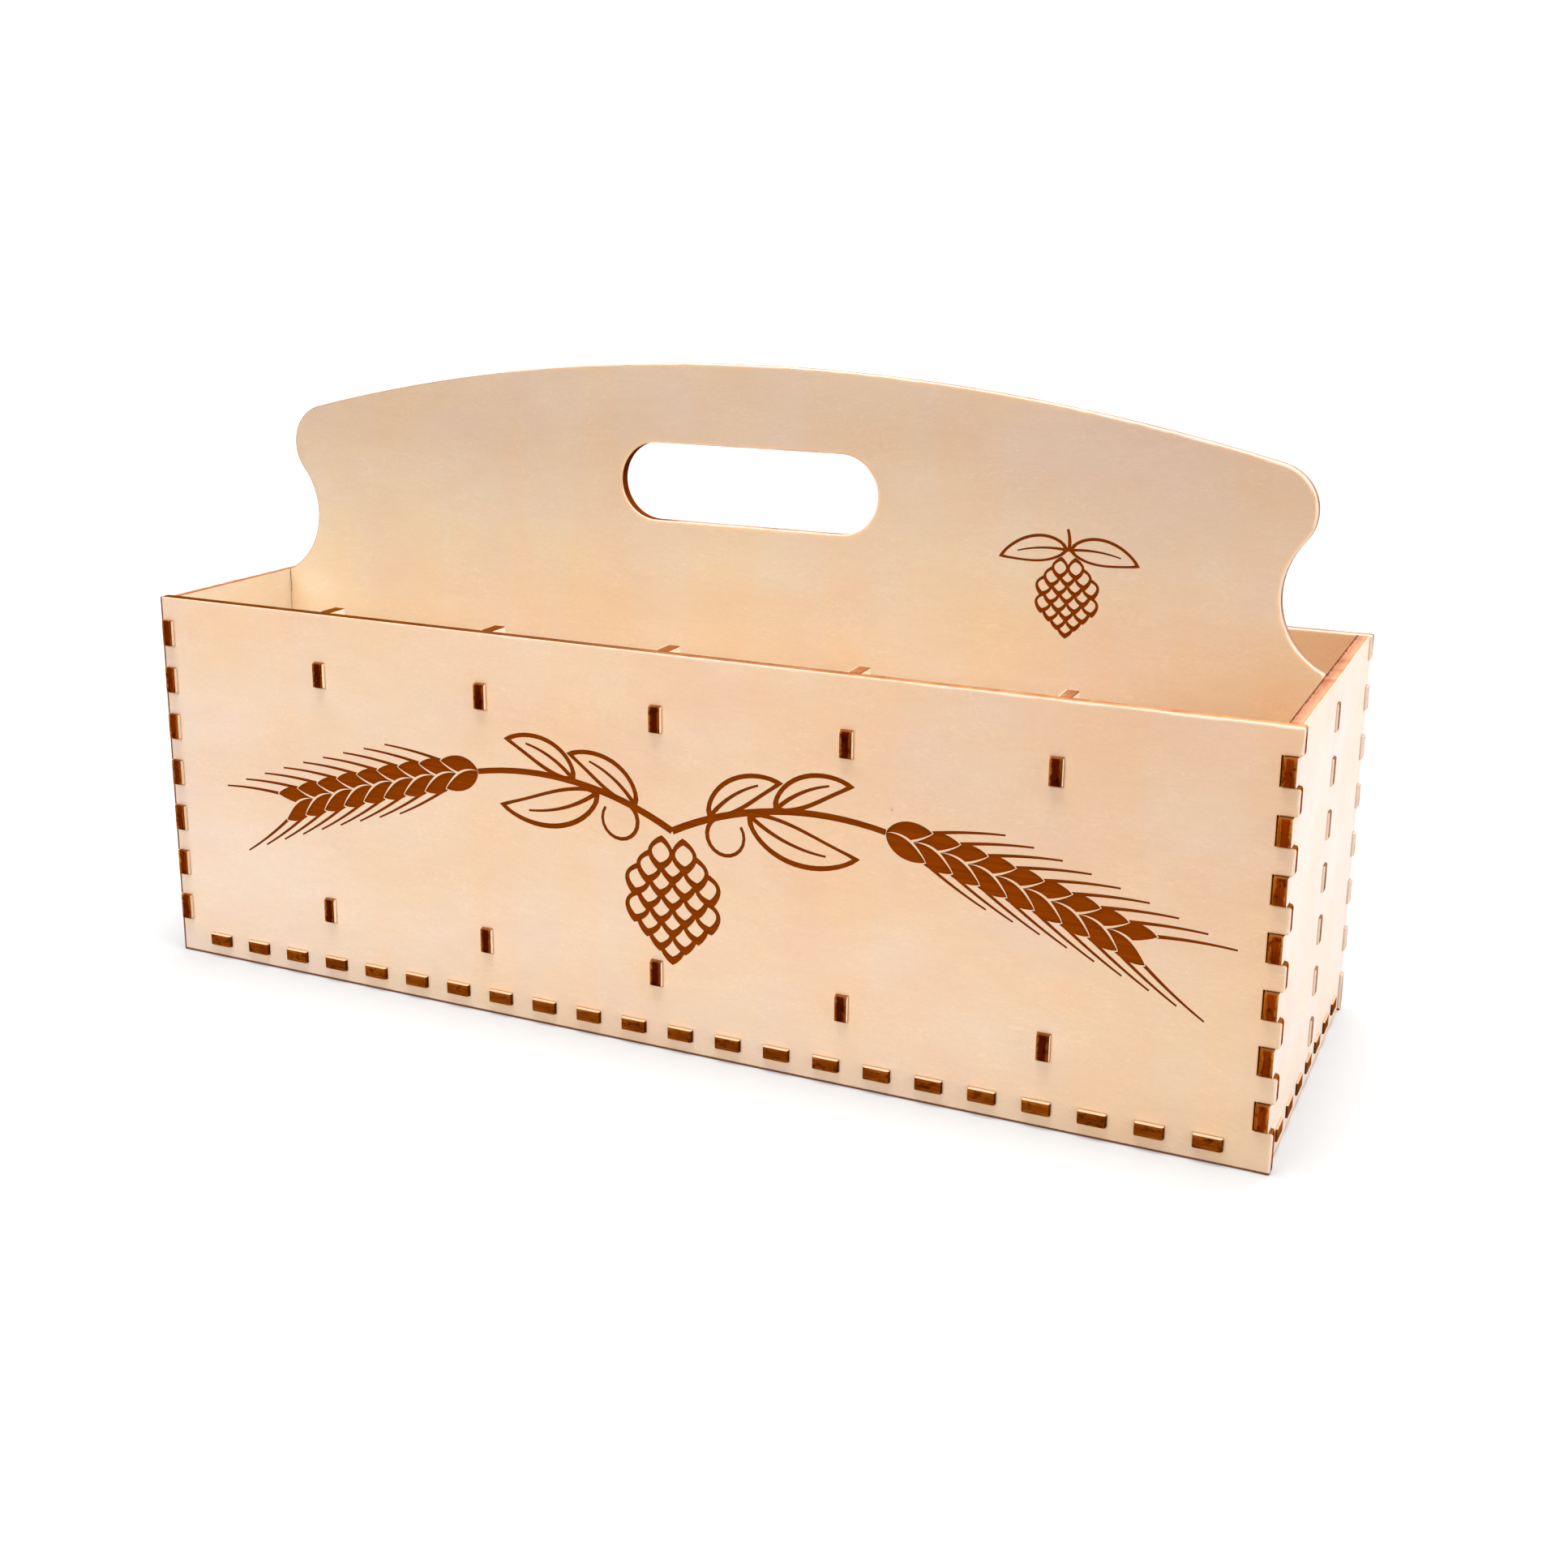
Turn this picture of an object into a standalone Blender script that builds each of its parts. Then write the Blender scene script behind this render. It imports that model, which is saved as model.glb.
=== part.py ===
"""Bottle carrier of laser-cut plywood, put together with finger joints.

Eleven flat panels stand in one another: a front and a back panel, two end panels, a raised floor, a middle
panel that rises to the handle, and five dividers that cross it. X runs along the carrier, Y from front to
back, Z up. The origin is on the ground under the middle of the carrier.
"""

import math

import bpy
from mathutils import Vector

# Sheet and bottle cells
PLY = 0.005                     # thickness of the plywood
CELL = 0.075                    # clear width of a bottle cell, both ways
CELLS_LONG = 6
CELLS_DEEP = 2
WALL_HEIGHT = 0.1635            # ground to the rim of the four walls
FLOOR_LIFT = 0.0058             # ground to the underside of the floor

# Joints
FIT = 0.0003                    # gap between two panels that meet
NOTCH_RELIEF = 0.0008           # extra depth of the notches in the ends of the front and back panels
CORNER_RADIUS = 0.001           # rounding of every square outer corner of a panel
WALL_FINGERS = 7                # fingers on each upright edge of an end panel
FLOOR_TABS_LONG = 22            # floor tabs through the front, and as many through the back
FLOOR_TABS_DEEP = 7             # floor tabs through each end panel
FRONT_PROUD = 0.0018            # how far tabs stand out of the front and back faces
END_PROUD = 0.0015              # how far the front and back panels reach past the end panels
END_TAB_PROUD = 0.0011          # how far tabs stand out of the end panels' faces

# Handle panel
HANDLE_RISE = 0.1037            # rim to the top of the crown
CROWN_RADIUS = 0.885
LOBE_RADIUS = 0.0179            # convex upper corner of the handle
LOBE_INSET = 0.0074             # end panel's inner face to the lobe
NECK_INSET = 0.0185             # end panel's inner face to the deepest point of the concave neck
HAND_HOLE_LENGTH = 0.117
HAND_HOLE_HEIGHT = 0.033
HAND_HOLE_DROP = 0.050          # top of the crown to the middle of the hand hole

# Dividers
HORN_DEPTH = 0.011              # what stays of a divider beside the wall, above the scoop
SCOOP_RISE = 0.090              # floor to the bottom of the scoop
SCOOP_RADIUS = 0.012
DIVIDER_TAB = 0.0105            # height of a divider tab
UPPER_TAB_DROP = 0.0261         # rim to the middle of the upper tabs
LOWER_TAB_RISE = 0.0217         # floor to the middle of the lower tabs

# Finish
VENEER_COLOR = (0.83, 0.64, 0.46, 1.0)
VENEER_ROUGHNESS = 0.55

# Drawing of the outlines
CHORD_ERROR = 0.00003           # how far a short chord may lie off its arc
SAME_POINT = 0.000001           # points this close are one point
SQUARE_WITHIN = 0.01            # largest cosine of the angle between two sides of a square corner

# Sizes that follow
DIVIDER_PITCH = CELL + PLY
INNER_HALF_LENGTH = (CELLS_LONG * CELL + (CELLS_LONG - 1) * PLY) / 2
INNER_HALF_DEPTH = (CELLS_DEEP * CELL + (CELLS_DEEP - 1) * PLY) / 2
OUTER_HALF_LENGTH = INNER_HALF_LENGTH + PLY
OUTER_HALF_DEPTH = INNER_HALF_DEPTH + PLY
FLOOR_TOP = FLOOR_LIFT + PLY
HANDLE_TOP = WALL_HEIGHT + HANDLE_RISE
SCOOP_LEVEL = FLOOR_TOP + SCOOP_RISE
LAP_LEVEL = (FLOOR_TOP + SCOOP_LEVEL) / 2
HALF_SLOT = PLY / 2 + FIT

# Turns of a flat panel: stood up facing the front, stood up facing an end, and left lying
FACING_FRONT = (math.pi / 2, 0, 0)
FACING_END = (math.pi / 2, 0, math.pi / 2)
LYING_FLAT = (0, 0, 0)


def even_teeth(low, high, count):
    """Spans of teeth that are as wide as the gaps between and beside them."""
    unit = (high - low) / (2 * count + 1)
    return [(low + (2 * i + 1) * unit, low + (2 * i + 2) * unit) for i in range(count)]


def widened(spans, by):
    """The same spans, opened by a gap on both sides."""
    return [(low - by, high + by) for low, high in spans]


def around(middle, width):
    """Span of a given width about a middle."""
    return (middle - width / 2, middle + width / 2)


def toothed_edge(low, high, teeth, level, tip):
    """Points along an edge at one level that steps to the tip and back at each tooth."""
    points = [(low, level)]
    for start, end in teeth:
        points += [(start, level), (start, tip), (end, tip), (end, level)]
    return points + [(high, level)]


def swapped(points):
    """The same points with their two coordinates exchanged."""
    return [(v, u) for u, v in points]


def mirrored(points):
    """The right half of an outline, followed back along its left half."""
    return points + [(-u, v) for u, v in reversed(points)]


def rectangle(u_span, v_span):
    """Corners of a rectangle."""
    return [(u_span[0], v_span[0]), (u_span[1], v_span[0]), (u_span[1], v_span[1]), (u_span[0], v_span[1])]


def angles_along(radius, start, end):
    """Angles from start to end, close enough together for their chords to look round."""
    largest_step = 2 * math.acos(1 - CHORD_ERROR / radius)
    steps = max(2, math.ceil(abs(end - start) / largest_step))
    return [start + (end - start) * i / steps for i in range(steps + 1)]


def arc(center, radius, start, end):
    """Points along an arc between two angles."""
    angles = angles_along(radius, start, end)
    return [(center[0] + radius * math.cos(a), center[1] + radius * math.sin(a)) for a in angles]


def neighbors(points):
    """Each point of a closed outline, between the one before it and the one after it."""
    return zip(points[-1:] + points[:-1], points, points[1:] + points[:1])


def rounded(outline):
    """The outline with its square outer corners rounded. Inner corners and the points of arcs stay."""
    points = [p for before, p, _ in neighbors(outline) if math.dist(before, p) > SAME_POINT]
    doubled_area = sum(a[0] * b[1] - b[0] * a[1] for a, b, _ in neighbors(points))
    smooth = []
    for before, corner, after in neighbors(points):
        back = Vector(before) - Vector(corner)
        onward = Vector(after) - Vector(corner)
        square = abs(back.normalized().dot(onward.normalized())) < SQUARE_WITHIN
        outer = onward.cross(back) * doubled_area > 0
        if square and outer:
            radius = min(CORNER_RADIUS, back.length / 2, onward.length / 2)
            u = back.normalized() * radius
            v = onward.normalized() * radius
            center = Vector(corner) + u + v
            turns = angles_along(radius, 0, math.pi / 2)
            smooth += [tuple(center - v * math.cos(a) - u * math.sin(a)) for a in turns]
        else:
            smooth.append(corner)
    return smooth


def angle_to(origin, point):
    """Direction from one point to another."""
    return math.atan2(point[1] - origin[1], point[0] - origin[0])


def neck_circle(wall_point, lobe_center, neck_reach):
    """Center and radius of the circle that starts at the rim, is no nearer the middle than the neck's
    reach, and touches the lobe. Its height is found by halving."""
    gap = wall_point[0] - neck_reach

    def circle_at(height):
        radius = (gap ** 2 + (height - wall_point[1]) ** 2) / (2 * gap)
        return (neck_reach + radius, height), radius

    low, high = wall_point[1], lobe_center[1]
    for _ in range(60):
        middle = (low + high) / 2
        center, radius = circle_at(middle)
        if math.dist(center, lobe_center) > LOBE_RADIUS + radius:
            low = middle
        else:
            high = middle
    return circle_at(middle)


def plywood():
    """Pale veneer, the finish of every panel."""
    material = bpy.data.materials.new("plywood_veneer")
    material.use_nodes = True
    shader = material.node_tree.nodes["Principled BSDF"]
    shader.inputs["Base Color"].default_value = VENEER_COLOR
    shader.inputs["Roughness"].default_value = VENEER_ROUGHNESS
    shader.inputs["Metallic"].default_value = 0.0
    material.diffuse_color = VENEER_COLOR
    return material


def panel(name, outline, holes, turn, location):
    """One flat panel: a filled outline with holes, extruded to the thickness of the sheet."""
    curve = bpy.data.curves.new(name, "CURVE")
    curve.dimensions = "2D"
    curve.fill_mode = "BOTH"
    curve.extrude = PLY / 2
    for points in [rounded(outline)] + holes:
        spline = curve.splines.new("POLY")
        spline.points.add(len(points) - 1)
        for spline_point, (u, v) in zip(spline.points, points):
            spline_point.co = (u, v, 0, 1)
        spline.use_cyclic_u = True
    curve.materials.append(plywood())
    part = bpy.data.objects.new(name, curve)
    part.rotation_euler = turn
    part.location = location
    carrier.objects.link(part)
    return part


def divider_positions():
    """Middle of each divider along the carrier."""
    first = -INNER_HALF_LENGTH + CELL + PLY / 2
    return [first + i * DIVIDER_PITCH for i in range(CELLS_LONG - 1)]


def wall_fingers():
    """Heights of the fingers and tabs on the upright edges."""
    return even_teeth(FLOOR_LIFT, WALL_HEIGHT, WALL_FINGERS)


def divider_tabs():
    """Heights of the two tabs on each end of a divider."""
    lower = around(FLOOR_TOP + LOWER_TAB_RISE, DIVIDER_TAB)
    upper = around(WALL_HEIGHT - UPPER_TAB_DROP, DIVIDER_TAB)
    return [lower, upper]


def floor_tabs_long():
    """Places of the floor tabs along the front and the back."""
    return even_teeth(-INNER_HALF_LENGTH, INNER_HALF_LENGTH, FLOOR_TABS_LONG)


def floor_tabs_deep():
    """Places of the floor tabs along an end panel."""
    return even_teeth(-INNER_HALF_DEPTH, INNER_HALF_DEPTH, FLOOR_TABS_DEEP)


def long_wall(name, side):
    """Front or back panel: notched ends, and mortises for the floor and the dividers."""
    end = OUTER_HALF_LENGTH + END_PROUD
    notch = INNER_HALF_LENGTH - NOTCH_RELIEF
    notches = widened(wall_fingers(), FIT)
    outline = mirrored(swapped(toothed_edge(0, WALL_HEIGHT, notches, end, notch)))
    floor_height = (FLOOR_LIFT - FIT, FLOOR_TOP + FIT)
    holes = [rectangle(span, floor_height) for span in widened(floor_tabs_long(), FIT)]
    for x in divider_positions():
        for height in widened(divider_tabs(), FIT):
            holes.append(rectangle((x - HALF_SLOT, x + HALF_SLOT), height))
    return panel(name, outline, holes, FACING_FRONT, (0, side * (OUTER_HALF_DEPTH - PLY / 2), 0))


def end_panel(name, side):
    """End panel: fingers through the front and back panels, mortises for the floor and the handle panel."""
    edge = toothed_edge(0, WALL_HEIGHT, wall_fingers(), INNER_HALF_DEPTH - FIT, OUTER_HALF_DEPTH + FRONT_PROUD)
    outline = mirrored(swapped(edge))
    floor_height = (FLOOR_LIFT - FIT, FLOOR_TOP + FIT)
    holes = [rectangle(span, floor_height) for span in widened(floor_tabs_deep(), FIT)]
    for height in widened(wall_fingers(), FIT):
        holes.append(rectangle((-HALF_SLOT, HALF_SLOT), height))
    return panel(name, outline, holes, FACING_END, (side * (OUTER_HALF_LENGTH - PLY / 2), 0, 0))


def floor_panel():
    """Floor, with tabs on all four edges."""
    half_length = INNER_HALF_LENGTH - FIT
    half_depth = INNER_HALF_DEPTH - FIT
    tab_tip_long = OUTER_HALF_DEPTH + FRONT_PROUD
    tab_tip_deep = OUTER_HALF_LENGTH + END_TAB_PROUD
    right = swapped(toothed_edge(-half_depth, half_depth, floor_tabs_deep(), half_length, tab_tip_deep))
    back = toothed_edge(-half_length, half_length, floor_tabs_long(), half_depth, tab_tip_long)[::-1]
    right_and_back = right[:-1] + back[:-1]
    left_and_front = [(-x, -y) for x, y in right_and_back]
    outline = right_and_back + left_and_front
    return panel("floor_panel", outline, [], LYING_FLAT, (0, 0, FLOOR_LIFT + PLY / 2))


def handle_top_edge():
    """Right half of the handle's upper edge, from the rim over the neck and the lobe to the crown."""
    wall_point = (INNER_HALF_LENGTH - FIT, WALL_HEIGHT)
    crown_center = (0, HANDLE_TOP - CROWN_RADIUS)
    lobe_x = INNER_HALF_LENGTH - LOBE_INSET - LOBE_RADIUS
    lobe_z = crown_center[1] + math.sqrt((CROWN_RADIUS - LOBE_RADIUS) ** 2 - lobe_x ** 2)
    lobe_center = (lobe_x, lobe_z)
    neck_center, neck_radius = neck_circle(wall_point, lobe_center, INNER_HALF_LENGTH - NECK_INSET)
    neck_start = angle_to(neck_center, wall_point) % math.tau
    neck_end = angle_to(neck_center, lobe_center) % math.tau
    lobe_start = angle_to(lobe_center, neck_center)
    lobe_end = angle_to(crown_center, lobe_center)
    neck = arc(neck_center, neck_radius, neck_start, neck_end)
    lobe = arc(lobe_center, LOBE_RADIUS, lobe_start, lobe_end)
    crown = arc(crown_center, CROWN_RADIUS, lobe_end, math.pi / 2)
    return neck + lobe[1:] + crown[1:-1]


def handle_panel():
    """Middle panel: tabs through both end panels, slots over the dividers, and the handle above the rim."""
    end = INNER_HALF_LENGTH - FIT
    tip = OUTER_HALF_LENGTH + END_TAB_PROUD
    bottom = FLOOR_TOP + FIT
    side = swapped(toothed_edge(bottom, WALL_HEIGHT, wall_fingers(), end, tip))
    right_half = side[:-1] + handle_top_edge()
    left_half = [(-x, z) for x, z in reversed(right_half)]
    slots = widened([(x, x) for x in divider_positions()], HALF_SLOT)
    underside = toothed_edge(-end, end, slots, bottom, LAP_LEVEL + FIT / 2)[1:-1]
    outline = right_half + [(0, HANDLE_TOP)] + left_half + underside
    hole_z = HANDLE_TOP - HAND_HOLE_DROP
    hole_radius = HAND_HOLE_HEIGHT / 2
    hole_x = HAND_HOLE_LENGTH / 2 - hole_radius
    hand_hole = arc((hole_x, hole_z), hole_radius, -math.pi / 2, math.pi / 2)
    hand_hole += arc((-hole_x, hole_z), hole_radius, math.pi / 2, 3 * math.pi / 2)
    return panel("handle_panel", outline, [hand_hole], FACING_FRONT, (0, 0, 0))


def divider(name, x):
    """Cross panel: two tabs at each end, a wide scoop above, and a slot that takes the handle panel."""
    end = INNER_HALF_DEPTH - FIT
    tip = OUTER_HALF_DEPTH + FRONT_PROUD
    horn = INNER_HALF_DEPTH - HORN_DEPTH
    side = swapped(toothed_edge(FLOOR_TOP + FIT, WALL_HEIGHT, divider_tabs(), end, tip))
    corner_center = (horn - SCOOP_RADIUS, SCOOP_LEVEL + SCOOP_RADIUS)
    corner = arc(corner_center, SCOOP_RADIUS, 0, -math.pi / 2)
    slot_bottom = LAP_LEVEL - FIT / 2
    right_half = side + [(horn, WALL_HEIGHT)] + corner + [(HALF_SLOT, SCOOP_LEVEL), (HALF_SLOT, slot_bottom)]
    return panel(name, mirrored(right_half), [], FACING_END, (x, 0, 0))


def build():
    """Make every panel of the carrier."""
    long_wall("front_panel", -1)
    long_wall("back_panel", 1)
    end_panel("left_end_panel", -1)
    end_panel("right_end_panel", 1)
    floor_panel()
    handle_panel()
    for number, x in enumerate(divider_positions(), start=1):
        divider(f"divider_{number}", x)


for old in list(bpy.data.objects):
    bpy.data.objects.remove(old, do_unlink=True)
carrier = bpy.data.collections.new("bottle_carrier")
bpy.context.scene.collection.children.link(carrier)
build()
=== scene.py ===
"""Looks of the bottle carrier: every panel as laser-cut, veneered plywood with scorched edges."""

import math

import bmesh
import bpy
import numpy as np
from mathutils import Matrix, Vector
from mathutils.geometry import delaunay_2d_cdt


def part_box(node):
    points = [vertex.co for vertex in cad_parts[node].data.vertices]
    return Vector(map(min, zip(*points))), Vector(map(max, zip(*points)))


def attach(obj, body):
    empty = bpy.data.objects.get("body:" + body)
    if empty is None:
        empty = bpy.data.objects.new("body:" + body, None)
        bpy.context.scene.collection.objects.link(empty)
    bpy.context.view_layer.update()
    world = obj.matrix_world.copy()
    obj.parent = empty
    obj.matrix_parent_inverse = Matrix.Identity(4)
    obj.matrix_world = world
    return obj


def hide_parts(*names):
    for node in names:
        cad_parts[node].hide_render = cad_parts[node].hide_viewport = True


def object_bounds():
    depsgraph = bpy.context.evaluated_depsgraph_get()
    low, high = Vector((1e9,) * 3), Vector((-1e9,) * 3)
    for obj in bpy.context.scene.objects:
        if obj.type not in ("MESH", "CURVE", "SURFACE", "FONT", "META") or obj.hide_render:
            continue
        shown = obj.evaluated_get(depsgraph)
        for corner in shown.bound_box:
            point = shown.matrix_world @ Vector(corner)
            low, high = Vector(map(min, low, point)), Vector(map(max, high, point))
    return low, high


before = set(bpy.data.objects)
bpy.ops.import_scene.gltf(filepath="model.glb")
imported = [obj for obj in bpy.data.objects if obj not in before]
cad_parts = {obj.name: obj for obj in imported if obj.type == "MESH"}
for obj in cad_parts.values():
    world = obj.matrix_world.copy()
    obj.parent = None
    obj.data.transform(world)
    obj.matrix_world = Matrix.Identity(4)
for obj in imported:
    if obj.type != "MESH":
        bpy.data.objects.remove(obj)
cad_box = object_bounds()

MM = 0.001
HALF_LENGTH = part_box("front_panel")[1].x
HIGHEST_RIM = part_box("front_panel")[1].z
ENDS = ("left_end_panel", "right_end_panel")
FRONT_AND_BACK = ("front_panel", "back_panel")

# The photograph's camera
IMAGE_WIDTH = 1934
IMAGE_HEIGHT = 1904
FOCAL_PIXELS = 2341.2
OPTICAL_CENTER = (947.3, 867.5)
CAMERA_AT = (0.33617, -0.70822, 0.32569)
CAMERA_TURN = (75.6301, -0.5030, 24.8744)
SENSOR_WIDTH = 36
CLIP_START = 0.01

# A panel's sides. Left is the low end of its first axis, which is the front on the end panels.
LEFT, BOTTOM, RIGHT = range(3)

# Fit of the panels
SNUG = 0.13 * MM                # by which tabs and their holes come closer together than in the solids
GROWTH = {                      # by which a panel's fingers and tabs are wider at each side, else SNUG
    "front_panel": 0.0,
    "back_panel": 0.0,
    "left_end_panel": 0.32 * MM,
    "right_end_panel": -0.05 * MM,
}
END_TRIM = {                    # cut off a panel at each end, else nothing
    "floor_panel": 0.25 * MM,
    "handle_panel": 0.25 * MM,
    "back_panel": 0.4 * MM,
}
NOTCHES = (1.5 * MM, 10 * MM)   # distances from the left side between which the bottoms of its notches lie
SHALLOW = 0.7 * MM              # by which those notches are less deep
LONGER = 0.4 * MM               # by which the tabs between them reach further down, onto the fingers
ROUNDING = 1 * MM               # of the corners in the solids
SQUARED = {                     # the sides whose corners are rounded less
    "front_panel": (LEFT,),
    "left_end_panel": (LEFT, RIGHT),
}
SQUARED_SHARE = 0.3             # of the rounding that is left there

# Surface of a sheet
SHARP_ARRIS = 0.12 * MM         # rounding between a face and a cut edge, as the beam left it
SANDED_AT = (-HALF_LENGTH, 0.6 * HALF_LENGTH, HALF_LENGTH)      # places along the crate,
SANDED_ARRIS = (0.22 * MM, 0.48 * MM, 0.65 * MM)                # and the rounding there where it is sanded
HANDLED = (-140 * MM, -40 * MM)     # places between which the handle's sanding with its painted highlight, and the painted warm glow beside it, set in
CORNER_FADE = 0.6 * MM          # of the sanding, and of its painted highlight, at the crate's upright corners
ARRIS_STEPS = 3
STATION = 1 * MM                # spacing of the places on a cut where its evenness is measured
REACH = 8                       # such spacings each way, over which it is measured
CALM_CUT = (0.78, 0.95)         # evenness between which a cut turns from charred to browned
RIM_ZONE = 1.5 * MM             # from this far below the highest rim upward, cuts are always browned
LONGEST_STEP = 6 * MM           # along a cut
FEWEST_STATIONS = 8             # on a cut
RINGS = (0.6 * MM, 1.2 * MM, 2.1 * MM, 3.3 * MM)    # rows of points beside a cut
RING_SPACING = 1.5 * MM         # least spacing of the points in a row
RING_ROOM = 0.95                # share of a row's distance that its points keep from every cut
GRID = 9 * MM                   # spacing of the other points on a face
FAR_FROM_CUTS = 5 * MM
SMOOTH_BELOW = math.radians(20)
WELD = 0.002 * MM
DIGITS = 6                      # decimals of a metre to which the same corner of two faces agrees
WHOLE_HULL = 0                  # kind of triangulation
HULL_MARGIN = 1e-7
CARVE_DEPTH = 0.35 * MM
OUTER_SIDE = {"floor_panel": 1, "right_end_panel": 1}       # of the sheet, else -1
FACE, CUT, ENGRAVED = range(3)  # slots of a panel's materials
VALUES = ("depth", "cut_distance", "tip_distance", "scorch_and_shade_distance", "calm", "sanded_and_highlight")
NOWHERE = 1.0                   # distance to a scorched and shaded side where a panel has none
# sides whose arris ends in a dark line: partly char, partly painted shade on the left and bottom sides that
# face away from the light
SCORCHED_AND_SHADED_SIDES = {
    "front_panel": (LEFT, BOTTOM),
    "back_panel": (LEFT, BOTTOM),
    "left_end_panel": (BOTTOM,),
    "right_end_panel": (BOTTOM,),
}

# Light: each lamp's place, size and watts
SKY_LEVEL = 0.30
BACKDROP_LEVEL = 1.03           # a little over white, so that no noise shows in it
WHITE = (1, 1, 1, 1)
FLOOR_SIZE = 8
FLOOR_GAP = 0.1 * MM
FLOOR_COLOR = (0.35, 0.35, 0.35, 1)
FLOOR_ROUGHNESS = 0.9
FLOOR_GLOW = 0.34               # at the object
FLOOR_GLOW_FAR = 1.0
GLOW_SPAN = (0.3, 1.6)
LAMP_AIM = (0, 0, 0.12)
LAMPS = {
    "front_lamp": ((-0.7, -2.0, 1.0), 1.0, 14.8),
    "right_lamp": ((1.9, -0.2, 0.8), 1.0, 16.5),
    "top_lamp": ((0, 0, 1.8), 1.2, 67),
    "back_lamp": ((0.1, 1.2, 1.5), 1.2, 14),
}

# Veneer of each panel. A tint over part of a panel comes with the spans along the crate and upward over which
# it sets in; several of these tints and some panels' colors are painted light and painted shade, as noted.
LOG_STEP = (0.61, 0.37, 0.05)   # from one panel's place on the log to the next one's, so that no two match
ALL_HEIGHTS = (-1.0, 0.0)
THROUGH_LEFT_END = (-238.5 * MM, -241.5 * MM)       # from the left end panel's inner face to its outer one, over which its painted light sets in
FRONT_VENEER = {
    "color": (0.945, 0.70, 0.495),
    # lighter low on the panel: painted light bounced from the floor
    "low_color": (1.0, 0.775, 0.58),
    "band": (0.02, 0.10),
    # pale color of sanded arrises: partly the sanding, partly a painted highlight
    "sanded_rim_highlight": (0.98, 0.78, 0.61),
    # darker where the arris faces up at the rim: painted shade against the top lamp
    "upward_rim_highlight": (0.60, 0.37, 0.30),
    "tints_and_painted_light": (
        ((1.0, 1.05, 1.17), (-0.10, -0.22), (0.17, 0.09)),
        ((0.99, 0.96, 0.94), (-0.2, 0.05), ALL_HEIGHTS),
        # darker at the upper right: painted shade
        ((0.92, 0.90, 0.91), (0.0, 0.2), (0.06, 0.14)),
        ((0.95, 0.93, 0.87), (0.12, 0.21), (0.12, 0.05)),
    ),
}
HANDLE_VENEER = {
    "color": (0.711, 0.550, 0.408),
    # lighter and warmer low on the handle: painted light bounced from the front panel's inner face
    "low_color": (0.885, 0.755, 0.560),
    "band": (0.170, 0.245),
    "sanded_rim_highlight": (0.95, 0.77, 0.61),
    "upward_rim_highlight": (0.95, 0.77, 0.61),
    # strength of the warm painted glow beside the painted highlight on the handle's outline
    "highlight_glow": 0.7,
    # tips lighter and pinker: painted light bounced from the end panels
    "tip": (1.0, 0.88, 0.78),
    "tints_and_painted_light": (
        ((0.965, 0.935, 0.96), (0.10, 0.19), ALL_HEIGHTS),
        # darker and warmer in the lower right corner: painted shade of the right end panel, with its warm
        # bounce
        ((0.91, 0.78, 0.62), (0.15, 0.235), (0.20, 0.14)),
        # lighter in the lower left corner: painted light that takes off the shade there
        ((1.10, 1.13, 1.16), (-0.185, -0.235), (0.21, 0.16)),
    ),
}
# near white where the left end panel is darker, and its bottom line pale: painted light of the strong light
# on the right end
RIGHT_VENEER = {"color": (0.965, 0.842, 0.765), "scorch_and_shade": (0.80, 0.47, 0.22)}
LEFT_VENEER = {
    # less red than the front: a painted cooling that takes off the warm light bounced onto its inner face
    "color": (0.774, 0.668, 0.515),
    # outer face lighter and warmer: painted light on the side that gets little lamp light
    "tints_and_painted_light": (((1.22, 1.06, 0.98), THROUGH_LEFT_END, ALL_HEIGHTS),),
}
BACK_VENEER = {
    # darker and warmer than the front: painted shade of the crate's inside, with its warm bounce
    "color": (0.774, 0.56, 0.365),
    "sanded_rim_highlight": (0.80, 0.58, 0.42),
    "upward_rim_highlight": (0.66, 0.48, 0.35),
    # tips lighter and pinker: painted light bounced from the end panels
    "tip": (1.0, 0.85, 0.73),
}
# darker than the front: painted shade that keeps it from washing out under the top lamp
FLOOR_VENEER = {"color": (0.744, 0.575, 0.412), "sanded_rim_highlight": (0.80, 0.58, 0.42)}
PALE_VENEER = {"color": (0.975, 0.852, 0.70)}
BAND_NOISE = ((2.5, 4, 5), 1.0)
BAND_WAVE = 40 * MM             # of the height where a panel's veneer turns to its lower color

# Figure of the veneer. A noise has its cycles a metre along the grain, across it and through the sheet, and
# then its detail, roughness and distortion. A layer is a noise, the span over which it sets in, and a tint.
LAYERS = {
    "clouds": (((14, 26, 20), 3.0, 0.55), (0.3, 0.7), (1.0, 0.945, 0.86)),
    "blush": (((19, 23, 20), 3.0, 0.6), (0.42, 0.68), (0.985, 0.965, 1.0)),
    "bands": (((34, 3.5, 20), 1.0), (0.46, 0.56), (1.01, 0.985, 0.95)),
    "waves": (((35, 160, 20), 3.0, 0.6, 2.0), (0.3, 0.75), (0.975, 0.970, 0.965)),
    "flecks": (((420, 1500, 20), 2.0, 0.6, 0.6), (0.35, 0.7), (0.972, 0.966, 0.955)),
}
CURL_NOISE = ((110, 260, 20), 2.0, 0.6, 1.5)
CURL_WIDTH = 0.03
CURLY_NOISE = ((40, 60, 20),)   # where the veneer has curls
CURLY = (0.42, 0.58)
CURL_TINT = (1.06, 1.07, 1.09)
KNOT_CELLS = (27, 27, 5)        # a metre, of which a share has a knot
KNOT_SHARE = 0.5
KNOT = (0.010, 0.026)           # its radius where it begins to fade and where it ends, as shares of a cell
KNOT_COLOR = (0.42, 0.20, 0.08)
KNOT_STRENGTH = 0.5
VENEER_GLOSS = 0.2
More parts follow.
